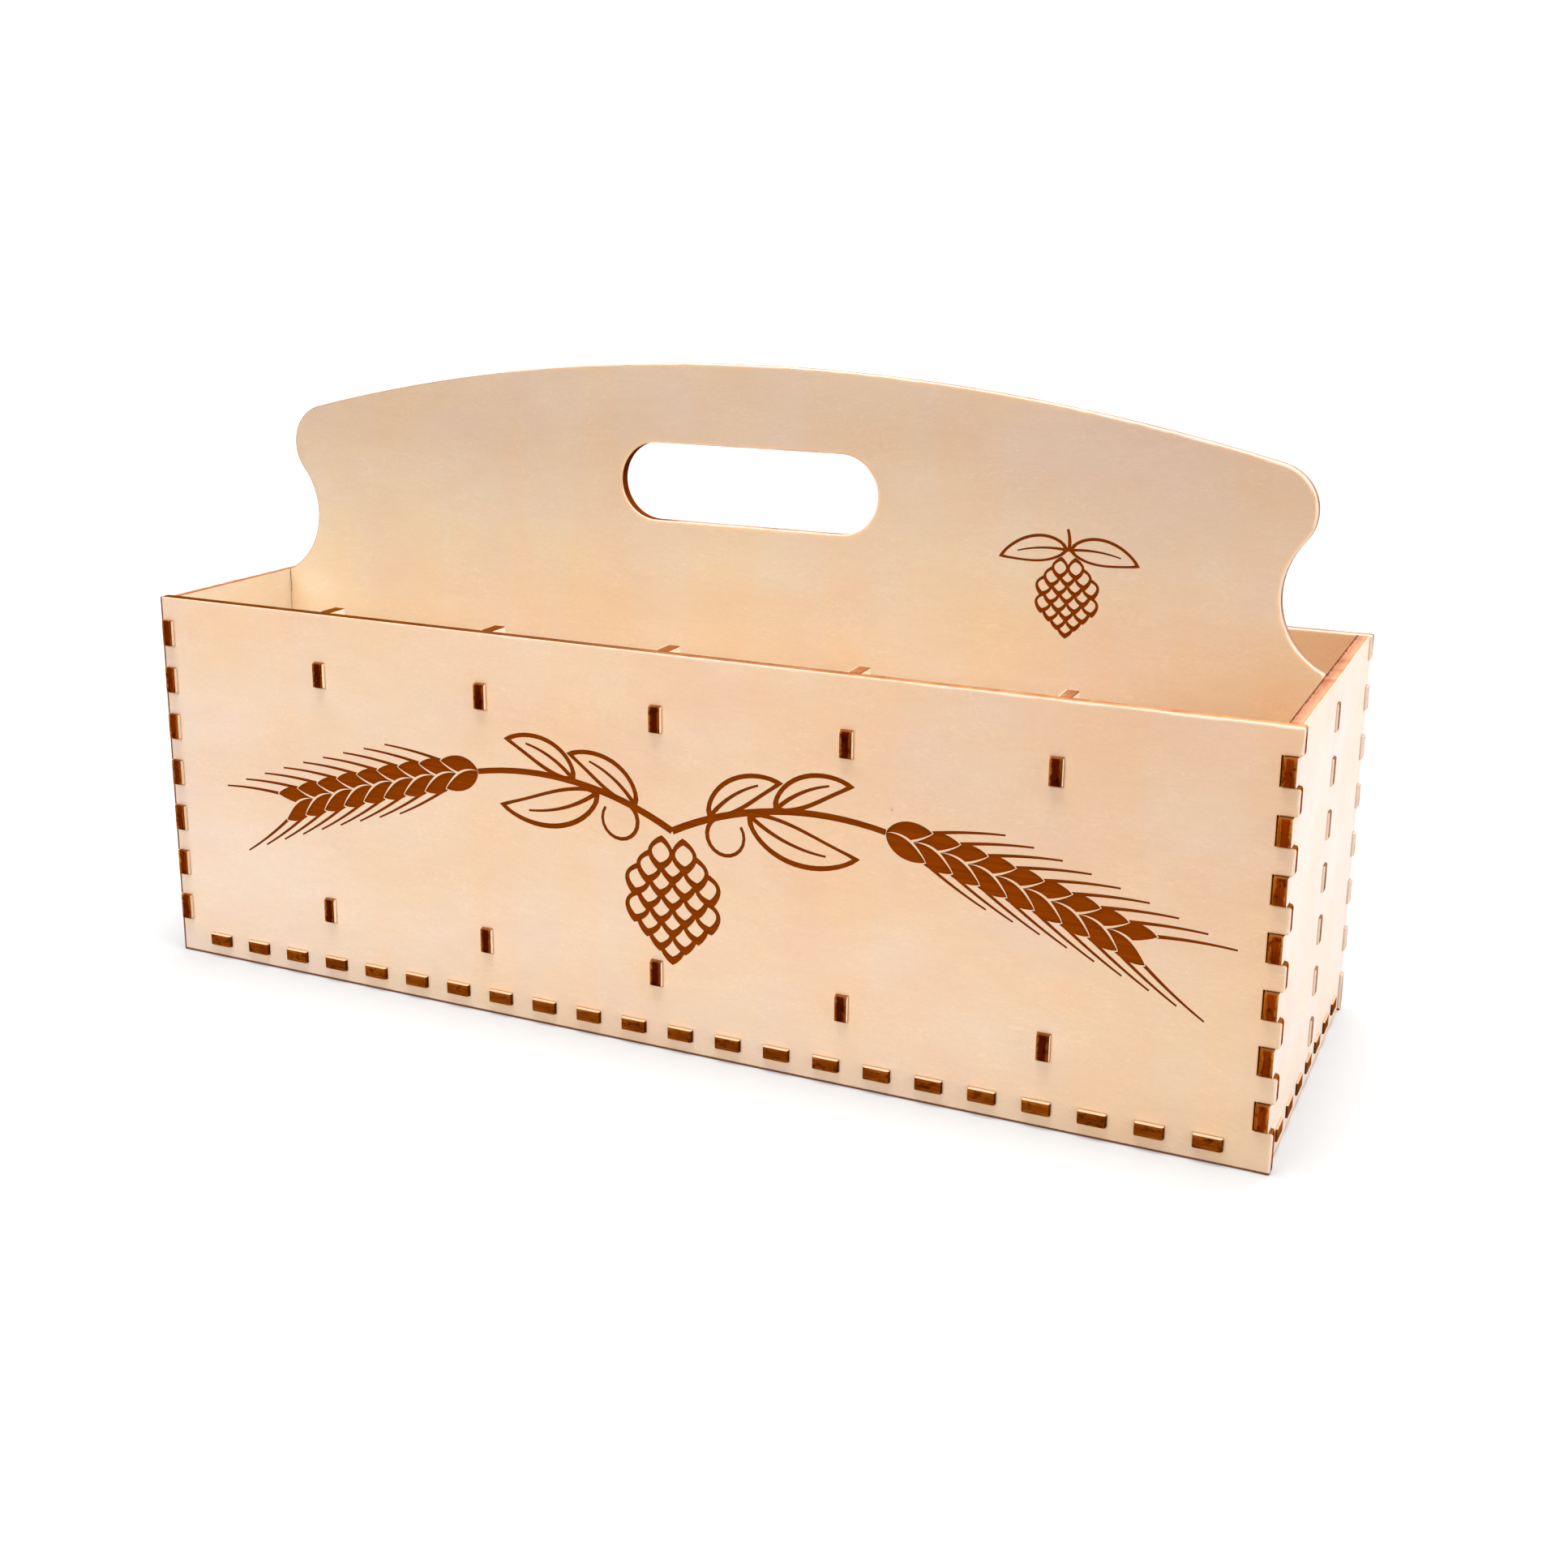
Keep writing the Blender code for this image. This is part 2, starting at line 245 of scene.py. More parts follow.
VENEER_ROUGHNESS = (0.54, 0.64)
VENEER_RELIEF = 0.04 * MM
VENEER_RELIEF_STRENGTH = 0.12

# Traces of the beam and of the sanding on the veneer, with painted light and shade beside the cuts
EDGE_NOISE = ((900, 900, 200),)
EDGE_WOBBLE = 0.25 * MM         # of every distance from a cut
TOP = (HIGHEST_RIM - RIM_ZONE, HIGHEST_RIM - 0.9 * MM)      # heights over which the darker upward color of the painted highlight sets in, a painted shade against the top lamp
UPWARD = (0.3, 0.8)             # and upward parts of the surface's normal over which it does
TIP_BOUNCE_SPAN = (1.0 * MM, 1.5 * MM)      # distances from an end between which the painted light on the tips, bounced from the end panels, fades
SCORCH_AND_SHADE_SPAN = (0.65 * MM, 1.1 * MM)  # distances from a scorched and shaded side between which its dark line, partly char and partly painted shade, fades
GLOW = (0.0, 0.5 * MM)          # and the same for the reddish glow beside every cut
HIGHLIGHT_GLOW_SPAN = (0.4 * MM, 2.4 * MM)     # and for the warm painted glow beside the handle's painted highlight
RAW = (0.0, 0.45 * MM)          # and for the dark line beside it where the handle has neither sanding nor that painted glow
GLOW_TINT = (0.93, 0.70, 0.48)
GLOW_STRENGTH = 0.5
HIGHLIGHT_GLOW_TINT = (1.17, 1.02, 0.84)
RAW_COLOR = (0.42, 0.22, 0.12)
# share of the pale color laid on a sanded arris, partly the sanding and partly a painted highlight
SANDED_HIGHLIGHT_STRENGTH = 0.8

# Colors of the cuts. Charred ones have outer plies, a core, one outermost ply and flanks of their own, and a
# tint at one end of the crate that goes with the painted light on the brightly lit right end. Browned ones
# turn from a darker brown on the left to a lighter one on the right between two places along it, painted
# shade and painted light as the light falls from the right, and the second brown has an outer half of its own
# and a seam along the inner arris.
FRONT_CUT = {
    "ply": (0.46, 0.115, 0.008),
    "core": (0.27, 0.036, 0.001),
    "rind": (0.55, 0.22, 0.04),
    "flank": (0.26, 0.09, 0.02),
    "left": (0.11, 0.030, 0.002),
    "right": (0.44, 0.19, 0.085),
    "outer": (0.56, 0.26, 0.12),
    "turn": (-0.6 * HALF_LENGTH, HALF_LENGTH),
    "seam": (0.12, 0.03, 0.008),
    "end": (HALF_LENGTH - 2 * MM, HALF_LENGTH - 1 * MM),
    "end_tint": (1.0, 1.0, 1.0),
}
LEFT_CUT = FRONT_CUT | {
    "ply": (0.35, 0.075, 0.004),
    "core": (0.18, 0.024, 0.001),
    "right": (0.31, 0.14, 0.08),
    "outer": (0.80, 0.66, 0.54),
    "turn": (-2 * HALF_LENGTH, -1.5 * HALF_LENGTH),
    "seam": (0.31, 0.14, 0.08),
}
RIGHT_CUT = FRONT_CUT | {
    "ply": (0.42, 0.105, 0.007),
    "core": (0.25, 0.034, 0.001),
    "right": (0.34, 0.155, 0.09),
    "outer": (0.45, 0.215, 0.125),
    "seam": (0.07, 0.02, 0.012),
}
BACK_CUT = FRONT_CUT | {
    # pale charred colors: painted light on the brightly lit right end; the tint at the left end brings back
    # the brown there
    "ply": (0.94, 0.79, 0.69),
    "core": (0.89, 0.71, 0.61),
    "rind": (0.96, 0.83, 0.73),
    "flank": (0.82, 0.64, 0.54),
    "left": (0.20, 0.10, 0.07),
    "right": (0.32, 0.20, 0.17),
    "outer": (0.40, 0.27, 0.24),
    "end": (2 * MM - HALF_LENGTH, 1 * MM - HALF_LENGTH),
    "end_tint": (0.45, 0.17, 0.03),
}
FLOOR_CUT = FRONT_CUT | {
    "ply": (0.35, 0.084, 0.006),
    "core": (0.27, 0.058, 0.003),
    "rind": (0.35, 0.088, 0.008),
    # near black: charred, and darkened further as painted shade on the tabs' sides
    "flank": (0.07, 0.018, 0.005),
    # paler at the right end: painted light on the brightly lit right end
    "end_tint": (1.35, 1.7, 3.0),
}
DIVIDER_CUT = FRONT_CUT | {
    "ply": (0.25, 0.058, 0.005),
    "core": (0.095, 0.009, 0.0005),
    "rind": (0.46, 0.16, 0.025),
    "flank": (0.26, 0.10, 0.03),
    "left": (0.16, 0.042, 0.003),
    "right": (0.30, 0.135, 0.065),
    "outer": (0.38, 0.18, 0.09),
    "seam": (0.30, 0.12, 0.05),
}
HANDLE_CUT = FRONT_CUT | {
    # pale charred colors: painted light on the brightly lit right end; the tint at the left end darkens them
    # there
    "ply": (0.55, 0.31, 0.20),
    "core": (0.44, 0.23, 0.14),
    "rind": (0.58, 0.36, 0.25),
    "flank": (0.34, 0.18, 0.11),
    # the hand hole's dark left wall: painted shade
    "left": (0.15, 0.026, 0.001),
    "right": (0.42, 0.24, 0.16),
    "outer": (0.52, 0.32, 0.22),
    "turn": (-48 * MM, -20 * MM),
    "seam": (0.14, 0.075, 0.06),
    "end": BACK_CUT["end"],
    "end_tint": (0.75, 0.45, 0.15),
}

# Build-up of a cut. Depth in the sheet runs from -1 at the inner face to 1 at the outer one.
UNEVEN_NOISE = ((420, 420, 200), 3.0, 0.6)
UNEVENNESS = 0.7                # of the borders between the plies
CORE = (0.45, 0.65)             # depths either way between which the core turns to the outer plies
RIND = (0.6, 0.8)               # and between which the outermost ply sets in
LINE_NOISE = ((90, 90, 2600),)
LINES = (0.48, 0.66)            # values of that noise between which a scorched line sets in
LINE_DARKNESS = 0.4
LINE_STRENGTH = 0.6
LINE_TINT = (0.88, 0.82, 0.80)  # on browned cuts
LINE_RELIEF = 0.06 * MM
LINE_RELIEF_STRENGTH = 0.3
SPOT_NOISE = ((330, 330, 420), 2.0, 0.6)
SPOTS = (0.52, 0.68)
SPOT_TINT = (0.45, 0.34, 0.28)
PATCH_NOISE = ((70, 70, 60),)
PATCHES = (0.35, 0.7)
PATCH_TINT = (0.72, 0.62, 0.55)
FLANK = (0.1 * MM, 0.6 * MM)    # distances from a tab's tip between which its cut turns to the flank's color
FLANK_STRENGTH = 0.9
OUTER_HALF = (-0.1, 0.4)        # depths between which a browned cut turns to its outer half
SEAM = (-0.85, -0.55)           # and between which its seam fades
SEAM_STRENGTH = 0.85
ABOVE_HOLE = (234 * MM, 242 * MM)   # heights between which the handle's cut turns to the right's brown; below them the left's dark brown, painted shade, stays on the hand hole's wall
CUT_ROUGHNESS = 0.7

# Engraving. Lengths of an ornament are shares of its size, and angles are in degrees.
ENGRAVED_NOISE = ((20, 3000, 50),)
PASSES = (0.35, 0.7)
ENGRAVED_COLORS = ((0.30, 0.052, 0.001), (0.215, 0.036, 0.001))
ENGRAVED_ROUGHNESS = 0.75
STROKE_STEPS = 16
LINE = 1.8                      # width of an engraved outline
POINT = 0.05 * MM               # half width of a leaf at its ends
SLIMNESS = 0.8                  # power that gives leaves their swelling
INSIDE_FROM = 1.6               # from a leaf's base to its standing inside, in widths of the line
INSIDE_SHORTER = 3.6            # by which the inside is shorter, in the same widths
INSIDE_TURN = 0.1               # of the inside, as a share of the leaf's bend
INSIDE_BEND = 0.8               # and its bend
RIB_SHARE = 0.72                # of a leaf's length and bend, for its midrib
RIB_TAPER = (0.55, 0.25)        # half widths of the midrib, in widths of the line
LEAF_FULLEST = 0.42
SCALE_FULLEST = 0.5
KERNEL_FULLEST = 0.45
CONE_ROWS = (1, 2, 3, 4, 3, 4, 3, 2)    # scales in each row of a hop cone, from its tip up
SCALE = (15, 5.6)               # length and half width
SCALE_STEP = (9.2, 5.6)         # from one scale to the next and from row to row
SCALE_LIFT = 14                 # of the lowest scale above the tip
SCALE_DROP = 1.2                # from the middle of a row to the next scale
SCALE_SPREAD = 9
KERNEL_STEP = 9.0
FIRST_KERNEL = 0.01             # way along the ear, in steps
KERNEL_TURN = 30
KERNEL_BEND = -22
KERNEL = (15, 2.9)              # length and half width
KERNEL_GAP = (15.4, 3.7)        # and the same for the gap left around it
AWN_ROOT = 13                   # way along the kernel
AWN = (24, 25, -10)             # turn, length and bend
AWN_TAPER = (0.6, 0.3)
BRANCH = (92, 28, -40)          # length, heading and bend
BRANCH_TAPER = (1.5, 1.2)
LEAVES = (                      # step along the branch, turn from it, length, bend and half width
    (3, 36, 38, -52, 6.6),
    (6, -52, 50, 50, 8.0),
    (8, 40, 37, -50, 6.4),
)
TENDRIL_STEP = 4
TENDRIL = (-165, 40, 290)       # heading, length and bend
TENDRIL_TAPER = (1.0, 0.6)
EAR = (-8, 9, 1.22)             # bend, pairs of kernels, and its size in the garland
SPRIG_TOP = 57                  # above the cone's tip
SPRIG_LEAF = (8, 48, -34, 9)    # heading, length, bend and half width
SPRIG_STEM = (80, 14, 30)       # heading, length and bend
SPRIG_TAPER = (1.3, 0.9)
GARLAND_PLACE = (7 * MM, 93 * MM)
GARLAND_CONE_TIP = (7 * MM, 38 * MM)
GARLAND_SIZE = 1.0 * MM
SPRIG_PLACE = (138 * MM, 168 * MM)
SPRIG_SIZE = 0.6 * MM


def material_nodes(name):
    """A new material, its node tree and its shader."""
    material = bpy.data.materials.new(name)
    material.use_nodes = True
    tree = material.node_tree
    return material, tree, tree.nodes["Principled BSDF"]


def add(tree, kind, inputs=None, **settings):
    """A node with its settings, and its inputs set or linked by name or number."""
    node = tree.nodes.new("ShaderNode" + kind)
    for key, value in settings.items():
        setattr(node, key, value)
    for key, value in (inputs or {}).items():
        if isinstance(value, bpy.types.NodeSocket):
            tree.links.new(value, node.inputs[key])
        else:
            node.inputs[key].default_value = value
    return node


def calc(tree, operation, first, second=0.0):
    """Output of a Math node."""
    return add(tree, "Math", {0: first, 1: second}, operation=operation).outputs[0]


def ramp(tree, value, low, high, to_low=0.0, to_high=1.0):
    """Value taken smoothly from one span to another, and held at the ends."""
    inputs = {"Value": value, "From Min": low, "From Max": high, "To Min": to_low, "To Max": to_high}
    return add(tree, "MapRange", inputs, interpolation_type="SMOOTHSTEP").outputs["Result"]


def fade(tree, value, span, full=1.0):
    """Full where the value lies before a span, zero beyond it, and smooth between."""
    return ramp(tree, value, *span, full, 0.0)


def mix(tree, factor, first, second):
    """Color mixed from two colors."""
    node = add(tree, "Mix", data_type="RGBA")
    for number, value in ((0, factor), (6, first), (7, second)):
        socket = node.inputs[number]
        if isinstance(value, bpy.types.NodeSocket):
            tree.links.new(value, socket)
        else:
            socket.default_value = (*value, 1.0)
    return node.outputs[2]


def stained(tree, tone, mask, strength, color):
    """Color with a stain laid over it where the mask says."""
    return mix(tree, calc(tree, "MULTIPLY", mask, strength), tone, color)


def tinted(tree, tone, mask, tint):
    """Color multiplied by a tint where the mask says."""
    node = add(tree, "Mix", data_type="RGBA", blend_type="MULTIPLY")
    tree.links.new(mask, node.inputs[0])
    tree.links.new(tone, node.inputs[6])
    node.inputs[7].default_value = (*tint, 1.0)
    return node.outputs[2]


def attribute(tree, name, output="Fac"):
    """Value of a mesh attribute."""
    return add(tree, "Attribute", attribute_name=name).outputs[output]


def on_sheet(tree, scales):
    """Place on the sheet, scaled along the grain, across it and through the sheet."""
    place = attribute(tree, "sheet", "Vector")
    return add(tree, "VectorMath", {0: place, 1: scales}, operation="MULTIPLY").outputs[0]


def noise(tree, scales, detail=2.0, roughness=0.5, distortion=0.0):
    """Noise on the sheet. The scales are cycles a metre along the grain, across it and through it."""
    inputs = {"Vector": on_sheet(tree, scales), "Scale": 1.0, "Detail": detail,
              "Roughness": roughness, "Distortion": distortion}
    return add(tree, "TexNoise", inputs).outputs["Fac"]


def coordinate(tree, axis):
    """The shaded point's coordinate along an axis of the crate."""
    return add(tree, "SeparateXYZ", {0: add(tree, "TexCoord").outputs["Object"]}).outputs[axis]


def add_relief(tree, shader, height, strength, distance):
    """Fine relief on a surface."""
    bump = add(tree, "Bump", {"Height": height, "Strength": strength, "Distance": distance})
    tree.links.new(bump.outputs[0], shader.inputs["Normal"])


def panel_tone(tree, color, low_color, band, tints_and_painted_light):
    """A panel's color. It can turn to another one low on the panel, and have tints over parts of it; some of
    these are painted light and painted shade.
    """
    tone = add(tree, "RGB").outputs[0]
    tone.default_value = (*color, 1.0)
    if low_color:
        wave = calc(tree, "MULTIPLY", noise(tree, *BAND_NOISE), BAND_WAVE)
        height = calc(tree, "ADD", coordinate(tree, "Z"), calc(tree, "SUBTRACT", wave, BAND_WAVE / 2))
        tone = mix(tree, fade(tree, height, band), tone, low_color)
    # tints over parts of the panel, some of them painted light and painted shade
    for tint, span, heights in tints_and_painted_light:
        across = ramp(tree, coordinate(tree, "X"), *span)
        mask = calc(tree, "MULTIPLY", across, ramp(tree, coordinate(tree, "Z"), *heights))
        tone = tinted(tree, tone, mask, tint)
    return tone


def figured(tree, tone):
    """The color with the veneer's figure, curls and a few pin knots on it, and the masks of the layers."""
    masks = {}
    for name, (texture, span, tint) in LAYERS.items():
        masks[name] = ramp(tree, noise(tree, *texture), *span)
        tone = tinted(tree, tone, masks[name], tint)

    bend = calc(tree, "SUBTRACT", noise(tree, *CURL_NOISE), 0.5)
    curls = fade(tree, calc(tree, "ABSOLUTE", bend), (0.0, CURL_WIDTH))
    curly = calc(tree, "MULTIPLY", curls, ramp(tree, noise(tree, *CURLY_NOISE), *CURLY))
    tone = tinted(tree, tone, curly, CURL_TINT)

    cells = add(tree, "TexVoronoi", {"Vector": on_sheet(tree, KNOT_CELLS), "Scale": 1.0})
    chance = add(tree, "SeparateColor", {0: cells.outputs["Color"]}).outputs[0]
    spots = fade(tree, cells.outputs["Distance"], KNOT)
    knots = calc(tree, "MULTIPLY", spots, calc(tree, "GREATER_THAN", chance, 1 - KNOT_SHARE))
    return stained(tree, tone, knots, KNOT_STRENGTH, KNOT_COLOR), masks


def veneer(name, color, low_color=None, band=(0, 1), sanded_rim_highlight=(1.0, 0.82, 0.66), upward_rim_highlight=(1.0, 0.82, 0.66),
           highlight_glow=0.0, tip=None, scorch_and_shade=(0.22, 0.065, 0.018), tints_and_painted_light=()):
    """Pale rotary-cut veneer. Beside each cut it glows reddish, and on the handle it can have a warm painted
    glow beside the painted highlight, or end in a dark line where that glow has not set in. Tips at the
    crate's ends can be lighter with painted light bounced from the end panels. Sanded arrises are paler,
    partly from the sanding and partly as a painted highlight, and darker where they face up at the rim, a
    painted shade against the top lamp. The scorched and shaded sides end in a dark line, partly char and
    partly painted shade."""
    material, tree, shader = material_nodes(name)
    tone, masks = figured(tree, panel_tone(tree, color, low_color, band, tints_and_painted_light))

    wobble = calc(tree, "MULTIPLY", noise(tree, *EDGE_NOISE), EDGE_WOBBLE)
    distance = calc(tree, "SUBTRACT", attribute(tree, "cut_distance"), wobble)
    # On the handle, a warm painted glow beside the painted highlight, and a dark line where it has not set
    # in.
    if highlight_glow:
        handled = ramp(tree, coordinate(tree, "X"), *HANDLED)
        glowing = calc(tree, "MULTIPLY", fade(tree, distance, HIGHLIGHT_GLOW_SPAN, highlight_glow), handled)
        tone = tinted(tree, tone, glowing, HIGHLIGHT_GLOW_TINT)
        raw = calc(tree, "SUBTRACT", fade(tree, distance, RAW, highlight_glow), handled)
        tone = stained(tree, tone, calc(tree, "MAXIMUM", raw, 0.0), 1.0, RAW_COLOR)
    # Tips at the crate's ends can take painted light bounced from the end panels.
    if tip:
        ending = calc(tree, "SUBTRACT", HALF_LENGTH, calc(tree, "ABSOLUTE", coordinate(tree, "X")))
        tone = stained(tree, tone, fade(tree, ending, TIP_BOUNCE_SPAN), 1.0, tip)
    tone = tinted(tree, tone, fade(tree, distance, GLOW, GLOW_STRENGTH), GLOW_TINT)
    # Where the arris faces up at the rim its pale color turns darker: painted shade against the top lamp's
    # highlight.
    slope = add(tree, "SeparateXYZ", {0: add(tree, "NewGeometry").outputs["Normal"]}).outputs["Z"]
    facing_top_lamp = calc(tree, "MULTIPLY", ramp(tree, coordinate(tree, "Z"), *TOP), ramp(tree, slope, *UPWARD))
    # Sanded arrises take a paler color: partly the sanding, partly a painted highlight.
    sanded_and_highlight = calc(tree, "MULTIPLY", attribute(tree, "sanded_and_highlight"), SANDED_HIGHLIGHT_STRENGTH)
    tone = mix(tree, sanded_and_highlight, tone, mix(tree, facing_top_lamp, sanded_rim_highlight, upward_rim_highlight))
    # The left and bottom sides end in a dark line: partly char, partly painted shade.
    scorched = calc(tree, "SUBTRACT", attribute(tree, "scorch_and_shade_distance"), wobble)
    tone = stained(tree, tone, fade(tree, scorched, SCORCH_AND_SHADE_SPAN), 1.0, scorch_and_shade)

    tree.links.new(tone, shader.inputs["Base Color"])
    shader.inputs["Specular IOR Level"].default_value = VENEER_GLOSS
    tree.links.new(ramp(tree, masks["flecks"], 0.0, 1.0, *VENEER_ROUGHNESS), shader.inputs["Roughness"])
    height = calc(tree, "SUBTRACT", masks["waves"], masks["flecks"])
    add_relief(tree, shader, height, VENEER_RELIEF_STRENGTH, VENEER_RELIEF)
    return material


def burnt_edge(name, ply, core, rind, flank, left, right, outer, turn, seam, end, end_tint):
    """Laser-cut edge. Small fingers and tabs are charred: three plies with a dark core and scorched lines
    between them, dark spots, and another color on the flanks. Long even cuts are only browned, darker on the
    left and lighter on the right, as painted shade and painted light."""
    material, tree, shader = material_nodes(name)
    uneven = calc(tree, "SUBTRACT", noise(tree, *UNEVEN_NOISE), 0.5)
    depth = calc(tree, "ADD", attribute(tree, "depth"), calc(tree, "MULTIPLY", uneven, UNEVENNESS))
    lines = ramp(tree, noise(tree, *LINE_NOISE), *LINES)
    heart = fade(tree, calc(tree, "ABSOLUTE", depth), CORE)
    charred = mix(tree, ramp(tree, depth, *RIND), mix(tree, heart, ply, core), rind)
    charred = stained(tree, charred, lines, LINE_STRENGTH, [LINE_DARKNESS * value for value in core])
    charred = tinted(tree, charred, ramp(tree, noise(tree, *SPOT_NOISE), *SPOTS), SPOT_TINT)
    on_flank = ramp(tree, attribute(tree, "tip_distance"), *FLANK)
    charred = stained(tree, charred, on_flank, FLANK_STRENGTH, flank)
    # A tint at one end of the crate, part of the painted light on the brightly lit right end: the floor's
    # lightens that end, the back's and handle's bring back the brown at the left end.
    charred = tinted(tree, charred, ramp(tree, coordinate(tree, "X"), *end), end_tint)

    browned = mix(tree, ramp(tree, depth, *OUTER_HALF), right, outer)
    browned = stained(tree, browned, fade(tree, depth, SEAM), SEAM_STRENGTH, seam)
    # From the left's darker brown to the right's lighter one: painted shade and painted light as the light
    # falls from the right; on the handle the dark brown stays on the hand hole's wall.
    above_hole = ramp(tree, coordinate(tree, "Z"), *ABOVE_HOLE)
    turned = calc(tree, "MAXIMUM", ramp(tree, coordinate(tree, "X"), *turn), above_hole)
    browned = mix(tree, turned, left, browned)
    browned = tinted(tree, browned, lines, LINE_TINT)

    tone = mix(tree, attribute(tree, "calm"), charred, browned)
    tone = tinted(tree, tone, ramp(tree, noise(tree, *PATCH_NOISE), *PATCHES), PATCH_TINT)
    tree.links.new(tone, shader.inputs["Base Color"])
    shader.inputs["Roughness"].default_value = CUT_ROUGHNESS
    shader.inputs["Specular IOR Level"].default_value = 0.0
    add_relief(tree, shader, lines, LINE_RELIEF_STRENGTH, LINE_RELIEF)
    return material


def engraved_wood():
    """Engraved wood: browned evenly, with fine streaks from the passes of the beam."""
    material, tree, shader = material_nodes("engraving")
    passes = ramp(tree, noise(tree, *ENGRAVED_NOISE), *PASSES)
    tree.links.new(mix(tree, passes, *ENGRAVED_COLORS), shader.inputs["Base Color"])
    shader.inputs["Roughness"].default_value = ENGRAVED_ROUGHNESS
    shader.inputs["Specular IOR Level"].default_value = 0.0
    return material


def sheet_axes(node):
    """Axes of a panel: along its grain, across it, and through the sheet."""
    low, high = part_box(node)
    size = [high[i] - low[i] for i in range(3)]
    through = size.index(min(size))
    along, across = [i for i in range(3) if i != through]
    return along, across, through


def signed_area(loop):
    """Area inside a loop, negative if it runs clockwise."""
    following = np.roll(loop, -1, axis=0)
    return np.sum(loop[:, 0] * following[:, 1] - following[:, 0] * loop[:, 1]) / 2


def cut_loops(node, axes):
    """Outlines of a panel, the outer one first and then its holes, each with the wood on its left."""
    along, across, through = axes
    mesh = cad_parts[node].data
    points = np.array([vertex.co for vertex in mesh.vertices])
    on_top = points[:, through] > points[:, through].max() - WELD
    names = [tuple(place) for place in np.round(points[:, [along, across]], DIGITS)]
    edges = {}
    for polygon in mesh.polygons:
        corners = list(polygon.vertices)
        if all(on_top[i] for i in corners):
            for start, end in zip(corners, corners[1:] + corners[:1]):
                pair = (names[start], names[end])
                if pair[::-1] in edges:
                    del edges[pair[::-1]]
                else:
                    edges[pair] = True
    following = dict(edges.keys())
    loops = []
    while following:
        loop = [next(iter(following))]
        while loop[-1] in following:
            loop.append(following.pop(loop[-1]))
        loops.append(np.array(loop[:-1]))
    loops.sort(key=lambda loop: -abs(signed_area(loop)))
    if signed_area(loops[0]) < 0:
        loops = [loop[::-1] for loop in loops]
    return loops


def divided(loop):
    """The loop with extra points on its long straight stretches."""
    points = []
    for start, end in zip(loop, np.roll(loop, -1, axis=0)):
        count = math.ceil(np.linalg.norm(end - start) / LONGEST_STEP)
        points += [start + (end - start) * i / count for i in range(count)]
    return np.array(points)


def stations_on(loop, spacing):
    """Stations at an even spacing along a loop, their places, and the way along it to each of its points and
    back to the first one."""
    closed = np.vstack([loop, loop[:1]])
    way = np.concatenate([[0], np.cumsum(np.linalg.norm(np.diff(closed, axis=0), axis=1))])
    count = max(FEWEST_STATIONS, round(way[-1] / spacing))
    stations = np.linspace(0, way[-1], count, endpoint=False)
    places = np.stack([np.interp(stations, way, closed[:, i]) for i in (0, 1)], axis=1)
    return stations, places, way


def evenness(loop):
    """How evenly the cut runs near each point: the direct way between two points of it as a share of the
    way along it."""
    stations, places, way = stations_on(loop, STATION)
    direct = np.linalg.norm(np.roll(places, -REACH, axis=0) - np.roll(places, REACH, axis=0), axis=1)
    shares = direct / (2 * REACH * way[-1] / len(stations))
    return np.interp(way[:-1], np.append(stations, way[-1]), np.append(shares, shares[0]))


def inset(loop, distance):
    """The loop moved into the wood, by one distance or by one for each point."""
    onward = np.roll(loop, -1, axis=0) - loop
    onward /= np.linalg.norm(onward, axis=1)[:, None]
    left = np.stack([-onward[:, 1], onward[:, 0]], axis=1)
    before = np.roll(left, 1, axis=0)
    miter = (left + before) / (1 + np.sum(left * before, axis=1))[:, None]
    return loop + miter * np.reshape(distance, (-1, 1))


def squared(loop, sides):
    """The loop with its corners rounded less at its left or right side."""
    shaped = loop.copy()
    for side in sides:
        edge = loop[:, 0].max() if side == RIGHT else loop[:, 0].min()
        inward = np.abs(loop[:, 0] - edge)
        for i in np.flatnonzero((inward > WELD) & (inward < ROUNDING - WELD)):
            step = 1 if inward[(i + 1) % len(loop)] > inward[i] else -1
            end = i
            while inward[end] < ROUNDING - WELD:
                end = (end + step) % len(loop)
            corner = np.array([edge, loop[end, 1]])
            shaped[i] = corner + (loop[i] - corner) * SQUARED_SHARE
    return shaped


def fill_notches(loop, grown, low):
    """Makes the notches at the left side less deep, and the tabs above them longer."""
    inward = loop[:, 0] - low[0]
    grown[(inward > NOTCHES[0]) & (inward < NOTCHES[1]), 0] -= SHALLOW
    rightward = np.roll(loop[:, 0], -1) - loop[:, 0] > WELD
    under_tabs = (rightward | np.roll(rightward, 1)) & (inward < NOTCHES[1])
    grown[under_tabs & (loop[:, 1] > low[1] + 2 * ROUNDING), 1] -= LONGER


def fitted(node, loops):
    """The loops as a joiner leaves them: tabs and holes grown or shrunk to their fit, the notches at the left
    filled, the ends trimmed, and no other side of the panel moved."""
    low, high = loops[0].min(axis=0), loops[0].max(axis=0)
    growth = GROWTH.get(node, SNUG)
    moved = []
    for number, loop in enumerate(loops):
        grown = inset(loop, -SNUG if number else -growth)
        if node in FRONT_AND_BACK and not number:
            fill_notches(loop, grown, low)
        on_side = (loop < low + WELD) | (loop > high - WELD)
        moved.append(np.where(on_side, loop, np.clip(grown, low, high)))
    trim = END_TRIM.get(node, 0.0)
    moved[0][:, 0] = np.clip(moved[0][:, 0], low[0] + trim, high[0] - trim)
    return moved


def distance_to(loops, points):
    """Distance of each point to the nearest cut."""
    nearest = np.full(len(points), np.inf)
    for loop in loops:
        for start, end in zip(loop, np.roll(loop, -1, axis=0)):
            along = end - start
            share = np.clip((points - start) @ along / (along @ along), 0, 1)
            apart = np.linalg.norm(points - start - share[:, None] * along, axis=1)
            nearest = np.minimum(nearest, apart)
    return nearest


